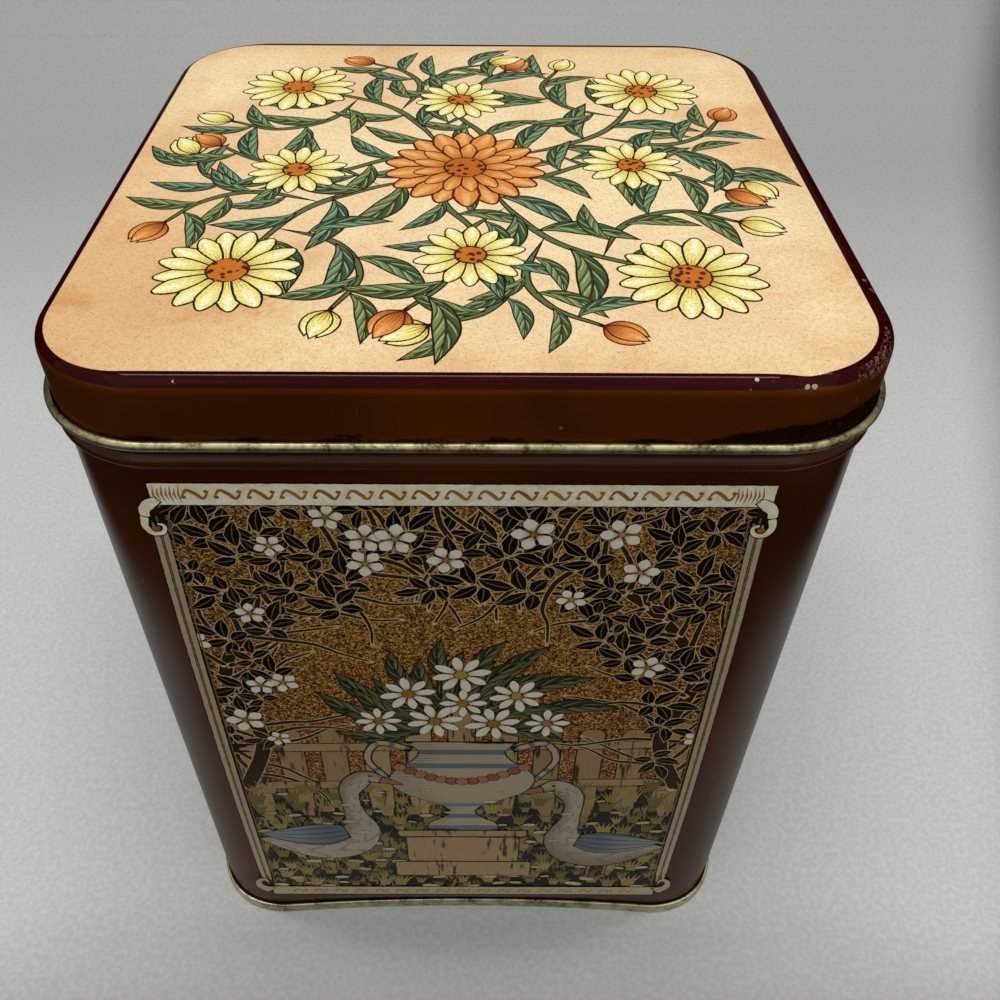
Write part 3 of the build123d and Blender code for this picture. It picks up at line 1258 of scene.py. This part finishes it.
lid_ink("lid_stems", stems, stem_ink)
lid_ink("lid_leaves", leaves, leaf_ink)
lid_ink("lid_petals", petals, petal_ink)
lid_ink("lid_buds", buds, petal_ink)
lid_ink("lid_orange_buds", orange_buds, orange_ink)
lid_ink("lid_orange_rose", orange_petals, orange_ink)
lid_ink("lid_centres", centres, centre_ink)


# Front print. A garden under a leafy bower, printed on the wall inside a frame of
# paper scroll: flat tints for sky and lawn, and over them litho inks for the fence,
# urn, geese, leaves and blossom. Places are across and up, in millimetres.
picture_middle = -0.75
picture_half = 37.4
picture_foot = 12.0
picture_top = 120.2
lawn_top = 50.0
front_step = 0.004
both_sides = (-1, 1)


def front_ink(name, drawn, finish, trimmed=True):
    """Lays strokes or stamps on the front wall, trimmed to the picture, as one piece."""
    mesh = drawn.mesh(name, finish)
    if trimmed:
        skin = bmesh.new()
        skin.from_mesh(mesh)
        for corner, outward in (
            ((-picture_half, 0, 0), (-1, 0, 0)),
            ((picture_half, 0, 0), (1, 0, 0)),
            ((0, picture_foot, 0), (0, -1, 0)),
            ((0, picture_top, 0), (0, 1, 0)),
        ):
            everything = skin.verts[:] + skin.edges[:] + skin.faces[:]
            bmesh.ops.bisect_plane(
                skin, geom=everything, plane_co=corner, plane_no=outward, clear_outer=True
            )
            cut = [edge for edge in skin.edges if edge.is_boundary]
            bmesh.ops.holes_fill(skin, edges=cut, sides=0)
        skin.to_mesh(mesh)
        skin.free()
    for vertex in mesh.vertices:
        across, up, height = vertex.co
        x, y = drawn_in((across + picture_middle) * MM, -wall_half, foot_pull(up * MM))
        vertex.co = (x, y - height * MM, up * MM)
    piece = finish_object(name, mesh)
    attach(piece, "tin")


# Flat tints of the picture, laid under everything: sky and lawn.
tree = wall_tree
height = tree.axis("Z")
from_middle = abs(tree.axis("X") - picture_middle * MM)
from_halfway = abs(height - (picture_foot + picture_top) / 2 * MM)
in_picture = from_middle < picture_half * MM
in_picture = in_picture * (from_halfway < (picture_top - picture_foot) / 2 * MM)
at_front = (tree.axis("Y") < 2.5 * MM - wall_half) * (tree.read("lacquered") < 0.5)
gilding = height.ramp(58 * MM, 112 * MM)
sky = gilding.blend((150, 86, 44), (152, 112, 48))
sky = (tree.noise(60, 3).ramp(0.7, 0.3) * 0.4).blend(sky, (108, 66, 32))
sky = (from_middle.ramp(16 * MM, 38 * MM) * 0.75).blend(sky, (96, 58, 24))
sky_grain = tree.noise(2900, 2, 0.75)
sky = sky_grain.ramp(0.5, 0.62).blend(sky, (12, 5, 2))
sky = sky_grain.ramp(0.47, 0.36).blend(sky, (226, 176, 100))
turf = tree.noise(130, 3).ramp(0.46, 0.6)
blades = tree.noise(2000, 1, 0.6, stretch=(1.0, 1.0, 0.3)).ramp(0.47, 0.55)
lawn = turf.blend((34, 28, 16), (142, 125, 74))
lawn = blades.blend(lawn, (12, 12, 7))
on_lawn = height + tree.noise(160, 2) * (8 * MM) < (lawn_top + 4) * MM
picture = on_lawn.blend(sky, lawn)
tree.shade(Base_Color=(in_picture * at_front).blend(wall_colour, picture))

night = (5, 5, 3)
pale_line = (208, 178, 128)
dark_key = (30, 22, 14)


def front_finish(name, fill, width=0.02, line=dark_key, amount=0.2):
    return ink_finish(name, fill, width, line, amount, wall_gloss)


def paper_fill(tree):
    mottle = tree.noise(420, 3).ramp(0.35, 0.7)
    return mottle.blend((255, 250, 226), (242, 228, 180))


def bower_leaf_fill(tree):
    shown = tree.read("tone").blend(night, (22, 19, 9))
    rib = abs(tree.read("across")).ramp(0.12, 0.04)
    return (rib * 0.25).blend(shown, pale_line)


def foliage_fill(tree):
    return tree.use(
        veins,
        Fill=(98, 104, 66),
        Shaded=(52, 64, 44),
        Line=(30, 30, 18),
        Light=(150, 146, 92),
        Count=5.0,
    )


def blossom_fill(tree):
    root = tree.read("along").ramp(0.0, 0.45)
    return root.blend((170, 150, 100), (240, 230, 208))


def fence_fill(tree):
    wood = tree.read("tone").blend((180, 152, 106), (150, 122, 80))
    streak = tree.noise(900, 3, stretch=(1.0, 1.0, 0.12)).ramp(0.56, 0.66)
    return streak.blend(wood, (66, 48, 28))


def urn_fill(tree):
    along = tree.read("along")
    bands = along.waves(44.0).ramp(0.35, 0.55) * abs(along - 0.5).ramp(0.14, 0.2)
    fill = bands.blend((180, 165, 137), (104, 118, 124))
    hatch = along.waves(260.0).ramp(-0.2, 0.5) * tree.read("across").ramp(0.25, 0.9)
    return (hatch * 0.6).blend(fill, (110, 96, 78))


def feather_fill(tree):
    across = tree.read("across")
    scallop = tree.read("along") * 60.0 + across.waves(9.0) * 1.6
    fill = across.ramp(-0.2, 0.9).blend((178, 167, 145), (142, 127, 101))
    edges = scallop.waves(1.0).ramp(0.72, 0.95)
    return (edges * 0.5).blend(fill, (120, 104, 80))


def wing_fill(tree):
    fill = tree.read("along").ramp(0.3, 0.8)
    fill = fill.blend((136, 146, 148), (96, 112, 120))
    quills = tree.read("across").waves(13.0).ramp(0.5, 0.8)
    return (quills * 0.7).blend(fill, (60, 66, 66))


branch_tones = (40, 30, 18), (58, 42, 24)
heart_tones = (190, 150, 60), (150, 104, 40)
grass_tones = (166, 147, 78), (106, 96, 48)
daisy_tones = (196, 184, 158), (172, 158, 110)
clay_tones = (176, 116, 88), (150, 90, 62)
rail_tones = (196, 180, 148), (172, 154, 120)
gilt_tones = (150, 104, 46), (172, 128, 66)
thin_line_tones = (120, 104, 70), (120, 104, 70)
fence_ink = front_finish("fence_ink", fence_fill, 0.22)
branch_ink = front_finish("branch_ink", branch_tones, 0.14, pale_line, 0.15)
bower_leaf_ink = front_finish("bower_leaf_ink", bower_leaf_fill, 0.1, pale_line, 0.12)
blossom_ink = front_finish("blossom_ink", blossom_fill, 0.11, (84, 68, 44), 0.1)
heart_ink = front_finish("heart_ink", heart_tones, 0.08, amount=0.5)
grass_ink = front_finish("grass_ink", grass_tones, line=key_black)
daisy_ink = front_finish("daisy_ink", daisy_tones, 0.1, (60, 52, 32), 0.15)
urn_ink = front_finish("urn_ink", urn_fill, 0.24, amount=0.15)
foliage_ink = front_finish("foliage_ink", foliage_fill, 0.2)
feather_ink = front_finish("feather_ink", feather_fill, 0.24, amount=0.1)
wing_ink = front_finish("wing_ink", wing_fill, 0.2, amount=0.12)
clay_ink = front_finish("clay_ink", clay_tones, 0.18, amount=0.25)
paper_ink = front_finish("paper_ink", paper_fill, 0.16, amount=0.18)
rail_ink = front_finish("rail_ink", rail_tones, 0.14)
gilt_ink = front_finish("gilt_ink", gilt_tones, line=key_black, amount=0.3)
rail_line_ink = front_finish("rail_line_ink", thin_line_tones, line=key_black, amount=0.5)

chance = random.Random(12)
jitter = chance.uniform


def sided(side, *knots, steps=5):
    """A smooth line on one side of the middle, its knots given by distance out and up."""
    return smooth_path([(side * out, up) for out, up in knots], steps)


# Paling fence, behind everything.
fence = Ink(front_step)
paling_pitch, paling_half, paling_shoulder = 7.0, 2.3, 0.928


def pale_half(share):
    """Half width of a pale, which is straight up to its round head."""
    head = max(0, share - paling_shoulder) / (1 - paling_shoulder)
    return paling_half * math.sqrt(max(0.02, 1 - head**2))


for index in range(-5, 6):
    top = 72 + 3.0 * math.cos(index * 0.9)
    heights = [40, 48, 56, 64] + [top - down for down in (2.3, 1.8, 1.2, 0.6, 0.15, 0)]
    pale = [(index * paling_pitch, up) for up in heights]
    fence.stroke(pale, pale_half, 1, jitter(0, 1), rim=0.5)
for height in (64, 52):
    cross_rail = [(u - picture_middle, height + 0.02 * u) for u in range(-38, 38, 6)]
    fence.stroke(cross_rail, swell(1.3, 1.3), 2, 0.3, rim=0.5)
front_ink("front_fence", fence, fence_ink)

# Bower: two stems that climb the sides and meet over the picture, with twigs, and
# sprays of leaves and blossom round an open arch.
spray_motif = Ink(0.001)
spray_motif.stroke([(0, 0), (1.5, 0.1), (3.2, 0)], swell(0.18, 0.12), rim=0.1, columns=2)
for root, aim, reach in (
    (0.3, 1.9, 3.4),
    (0.4, -1.8, 3.2),
    (0.9, 1.0, 4.6),
    (1.2, -0.85, 4.4),
    (2.4, 0.1, 5.0),
):
    tip = aimed(aim, reach)
    bow = Vector((-tip.y, tip.x)) * 0.4
    spray_motif.stroke(
        [
            Vector((root, 0)) + tip * share + bow * share * (1 - share)
            for share in (0, 0.2, 0.45, 0.7, 0.88, 1.0)
        ],
        swell(0.1, 0.75, 1.05, 0.95, 0.5, 0),
        root,
        rim=0.2,
    )
blossom_motif = Ink(0.0015)
for petal in range(5):
    spine = [aimed(2 * math.pi * petal / 5, out) for out in (0.2, 0.9, 1.6, 2.2, 2.75)]
    blossom_motif.stroke(spine, swell(0.15, 0.5, 0.95, 0.8, 0.05), petal % 3, rim=0.2)
heart_motif = Ink()
heart_motif.disc((0, 0), 0.5, rim=0.12, sides=8)

branches = Ink(front_step)
for side in both_sides:
    climb = (37, 50), (32, 66), (35, 84), (26, 100), (10, 111), (-4, 114)
    climb = sided(side, *climb, steps=9)
    branches.stroke(climb, swell(1.5, 1.2, 0.9, 0.5), 3)
    for index in range(3, len(climb) - 1, 2):
        for lean in both_sides:
            ahead = climb[index + 1] - climb[index]
            heading = math.atan2(ahead.y, ahead.x) + lean * jitter(0.6, 1.3)
            knots = [climb[index]]
            for reach in range(4):
                heading += jitter(-0.5, 0.5)
                knots.append(knots[-1] + aimed(heading, jitter(3.6, 5.4)))
            branches.stroke(smooth_path(knots, 4), swell(0.6, 0.45, 0.3), 2)
front_ink("front_branches", branches, branch_ink)

sprays = Stamps(spray_motif, 21, 4 * front_step, 0.0005, 0.1, 0.2)
blossoms = Stamps(blossom_motif, 22, 17 * front_step, 0.0005, 0.1, 0.3)
hearts = Stamps(heart_motif, 23, 19 * front_step, 0.0005)
opening = Vector((30.0, 44.0))
opening_foot, bower_foot, crown_foot = 60, 58, 96
crown_share, flank_share, blossom_share = 0.88, 0.7, 0.24
pitch = 5.9
for row in range(13):
    for column in range(-7, 8):
        u = (column + 0.5 * (row % 2)) * pitch + jitter(-1.6, 1.6)
        v = picture_top - 1.0 - row * pitch * 0.9 + jitter(-1.6, 1.6)
        inside_arch = (u / opening.x) ** 2 + ((v - opening_foot) / opening.y) ** 2
        kept_share = crown_share if v > crown_foot else flank_share
        if v < bower_foot or inside_arch < 1.0 or jitter(0, 1) > kept_share:
            continue
        turn = math.atan2(v - opening_foot, u) + jitter(-1.5, 1.5)
        sprays.add(u, v, turn, jitter(0.75, 1.2))
        if jitter(0, 1) < blossom_share:
            u += jitter(-1.5, 1.5)
            blossoms.add(u, v, jitter(0, 6), jitter(0.8, 1.15))
            hearts.add(u, v, 0, blossoms.rows[-1][-1])
front_ink("front_bower", sprays, bower_leaf_ink)
front_ink("front_blossom", blossoms, blossom_ink)
front_ink("front_hearts", hearts, heart_ink)

# Lawn: tufts and small flat flowers, with larger ones nearer the viewer.
tuft_motif = Ink()
for lean in (-0.9, -0.45, 0.0, 0.5, 0.95):
    blade = [(lean * 0.4, 0), (lean * 0.8, 1.5), (lean * 1.7, 3.0)]
    tuft_motif.stroke(blade, swell(0.25, 0.2, 0.02), columns=2)
daisy_motif = Ink()
daisy_motif.disc((0, 0), 1.25, rim=0.2, sides=12, squash=0.42)
tufts = Stamps(tuft_motif, 31, 5 * front_step, 0.0002, 0.1, 0.15)
daisies = Stamps(daisy_motif, 32, 18 * front_step, 0.0004, 0.1, 0.1)
row_pitch, tuft_pitch, daisy_share = 3.6, 4.1, 0.5
for row in range(11):
    v = picture_foot + 1 + row * row_pitch
    for column in range(-9, 10):
        u = (column + 0.5 * (row % 2)) * tuft_pitch + jitter(-1.2, 1.2)
        tufts.add(u, v + jitter(-1, 1), 0, jitter(0.8, 1.5))
        if jitter(0, 1) < daisy_share:
            v_daisy, turn = v + jitter(-1, 1), jitter(-0.2, 0.2)
            daisies.add(u + 2, v_daisy, turn, jitter(0.7, 1.3) * (1.15 - row * 0.04))
front_ink("front_tufts", tufts, grass_ink)
front_ink("front_daisies", daisies, daisy_ink)

# Urn on its plinth, hung with a swag.
plinth = Ink(front_step)
for low, high, half in ((17, 23, 13.0), (23, 33, 10.5), (33, 35.5, 12.0)):
    rise = [(0, low + (high - low) * share) for share in (0, 0.1, 0.5, 0.9, 1)]
    plinth.stroke(rise, swell(half, half), 19 + high / 4, 0.2, rim=0.6)
front_ink("front_plinth", plinth, fence_ink)
urn = Ink(front_step)
urn_foot, urn_rows, urn_row = 35.5, 20, 1.5
urn_width = swell(6.6, 6.2, 2.9, 2.6, 6.5, 10.6, 12.2, 12.4, 10.6, 8.0, 7.2, 9.6)
urn_spine = [(0, urn_foot + urn_row * index) for index in range(urn_rows + 1)]
urn.stroke(urn_spine, urn_width, 22, 0.2, rim=0.6)
for side in both_sides:
    handle = (8.2, 63), (13.5, 65), (15.6, 60), (13.0, 54.5), (11.6, 52.5)
    handle = sided(side, *handle, steps=4)
    urn.stroke(handle, swell(0.9, 0.8, 0.7, 0.6), 21, rim=0.4)
front_ink("front_urn", urn, urn_ink)
swag = Ink(front_step)
swag_half, swag_top, swag_drop, bead_radius = 10.4, 57.5, 4.6, 1.25
for side in both_sides:
    for index in range(7):
        share = index / 6
        drop = swag_drop * math.sin(share * math.pi / 2)
        bead = (side * swag_half * (1 - share), swag_top - drop)
        swag.disc(bead, bead_radius, 24 + index / 4, tone=index % 2, sides=10)
front_ink("front_swag", swag, clay_ink)

# Flowers in the urn: white daisies among grey-green leaves.
bunch_leaves = Stamps(leaf_motif, 41, 15 * front_step, 0.0004, 0.1, 0.15)
bunch_petals = Stamps(petal_motif, 42, 25 * front_step, 0, 0.05, 0.05)
bunch_hearts = Stamps(heart_motif, 43, 28 * front_step)
bunch_leaf_count, bunch_root = 26, 68
for index in range(bunch_leaf_count):
    aim = math.pi * (index + 0.5) / bunch_leaf_count + jitter(-0.08, 0.08)
    reach = 5 + 9 * (index % 3) / 2
    u, v = reach * 0.8 * math.cos(aim), bunch_root + reach * math.sin(aim)
    bunch_leaves.add(u, v, aim, jitter(0.6, 0.85))
for u, v, size in (
    (0, 84, 1.0),
    (-8, 79, 0.95),
    (8.5, 78.5, 0.95),
    (-13, 71.5, 0.8),
    (13.5, 71, 0.8),
    (-4.2, 71.5, 1.0),
    (5, 70.8, 1.0),
    (0.3, 76.5, 0.8),
):
    for petal in range(8):
        aim = 2 * math.pi * petal / 8 + size
        root = Vector((u, v)) + aimed(aim, 0.4)
        up = 0.001 * (petal % 3) + 0.0005 * abs(u)
        bunch_petals.add(root.x, root.y, aim, 0.5 * size, up)
    bunch_hearts.add(u, v, 0, 2.4 * size)
front_ink("front_bunch_leaves", bunch_leaves, foliage_ink)
front_ink("front_bunch_roses", bunch_petals, blossom_ink)
front_ink("front_bunch_hearts", bunch_hearts, heart_ink)

# Two geese that face the urn.
geese = Ink(front_step)
wings = Ink(front_step)
bills = Ink(front_step)
goose_out, goose_length, goose_height = 25.5, 1.25, 1.35
for side, ground in ((-1, 20), (1, 17)):

    def goose(*knots):
        """A line on a goose, whose own knots run from its tail to its bill."""
        knots = [(goose_out - goose_length * x, ground + goose_height * y) for x, y in knots]
        return sided(side, *knots, steps=6)

    body = (-9.5, 9), (-5, 8), (1, 8), (5.6, 11.5), (5.0, 17), (4.9, 22), (7.2, 25.4), (9.6, 24.6)
    geese.stroke(goose(*body), swell(0.3, 3.6, 6.2, 6.4, 3.4, 2.0, 1.75, 2.4, 1.2), 22, rim=0.6)
    wing = goose((-9.2, 10.5), (-5.5, 10), (-1, 10), (3.6, 11))
    wings.stroke(wing, swell(0.1, 2.2, 3.6, 4.0, 2.4), 24, rim=0.5)
    bill = goose((9.2, 24.7), (10.8, 24.2), (12.4, 23.4))
    bills.stroke(bill, swell(1.0, 0.8, 0.1), 23, rim=0.3)
    for stand in (-1.5, 1.0):
        leg = goose((stand, 4.2), (stand + 0.2, 1.5), (stand + 0.2, 0))
        bills.stroke(leg, swell(0.5, 0.4, 0.4), 21, rim=0.2)
        foot = goose((stand - 0.2, 0), (stand + 1.6, -0.4))
        bills.stroke(foot, swell(0.6, 0.3), 21, rim=0.2)
    bills.disc(goose((7.9, 25.6), (8, 25.6))[0], 0.35, 25, 0.9, rim=0.1, sides=8)
front_ink("front_geese", geese, feather_ink)
front_ink("front_wings", wings, wing_ink)
front_ink("front_bills", bills, clay_ink)

# Paper-scroll frame: rails, top scroll with rolled ends, and a narrow foot band.
rails = Ink(front_step)
rail_lines = Ink(front_step)
for side in both_sides:

    def rail(offset):
        knots = (37.9, 118), (38.5, 92), (38.7, 50), (38.3, 13)
        return sided(side, *((out + offset, up) for out, up in knots), steps=6)

    rails.stroke(rail(0.62), swell(0.5, 0.52), 30, 0.4, rim=0.2)
    rails.stroke(rail(-0.52), swell(0.5, 0.52), 30, 0.6, rim=0.2)
    rail_lines.stroke(rail(0.05), swell(0.12, 0.12), 31, rim=0.1, columns=2)
    rail_lines.stroke(rail(-1.35), swell(0.1, 0.1), 30, rim=0.1, columns=2)
front_ink("front_rail_lines", rail_lines, rail_line_ink, trimmed=False)

scroll_height, scroll_half = 121.9, 38.6
foot_band_height, foot_band_half = 10.3, 38
scroll = Ink(front_step)
scroll_marks = Ink(front_step)
band_steps = [-9, -8.93] + list(range(-8, 9)) + [8.93, 9]
top_band = [(0.5 + scroll_half * step / 9, scroll_height) for step in band_steps]
scroll.stroke(top_band, swell(2.0, 2.0), 33, rim=0.3)
foot_band = [(foot_band_half * step / 9, foot_band_height) for step in band_steps]
rails.stroke(foot_band, swell(1.8, 1.8), 33, rim=0.3)
for side in both_sides:
    neck = sided(side, (37.0, 121.0), (38.2, 120.3), (39.2, 119.2), (39.3, 117.8))
    scroll.stroke(neck, swell(0.6, 0.95, 0.85, 0.7), 34)
    roll = (39.4, 118.0), (39.7, 116.3), (39.0, 114.9), (37.7, 115.0), (37.3, 116.2), (38.2, 116.7)
    scroll.stroke(sided(side, *roll), swell(0.7, 0.62, 0.55, 0.5, 0.42, 0.3), 35)
    scroll_marks.disc((side * 38.5, 115.7), 0.5, 33.5, 0.1, rim=0.1)
    foot_roll = (38, 10.4), (40.0, 12), (40.2, 14.2), (39.0, 15.2), (38.2, 13.8)
    rails.stroke(sided(side, *foot_roll, steps=4), swell(1.5, 1.0, 0.7, 0.6, 0.3), 34)
    for index in range(7):
        drop = 0.4 * (index % 2)
        out = 34.2 + 0.52 * index
        fold = (out, 123.4 - drop), (out + 0.2, scroll_height), (34.2 + 0.5 * index, 120.5 + drop)
        fold = [(side * across, up) for across, up in fold]
        scroll_marks.stroke(fold, swell(0.02, 0.14, 0.02), 36, rim=0.1, columns=2)
front_ink("front_scroll", scroll, paper_ink, trimmed=False)
front_ink("front_rails", rails, rail_ink, trimmed=False)
front_ink("front_scroll_marks", scroll_marks, gilt_ink, trimmed=False)

curl_motif = Ink()
curl_spine = smooth_path([(-1.9, -0.7), (-1.0, 0.75), (0.1, 0.1), (1.0, -0.75), (1.9, 0.7)], 4)
curl_motif.stroke(curl_spine, swell(0.05, 0.22, 0.3, 0.22, 0.05), rim=0.1, columns=2)
curl_motif.disc((-1.5, -0.5), 0.32, rim=0.1, sides=8)
curl_motif.disc((1.5, 0.5), 0.32, rim=0.1, sides=8)
curls = Stamps(curl_motif, 51, 36 * front_step)
curl_pitch = 4.05
for height, size in ((scroll_height, 0.95), (foot_band_height, 0.72)):
    for index in range(-8, 9):
        curls.add(curl_pitch * index, height, 0, size)
front_ink("front_curls", curls, gilt_ink, trimmed=False)
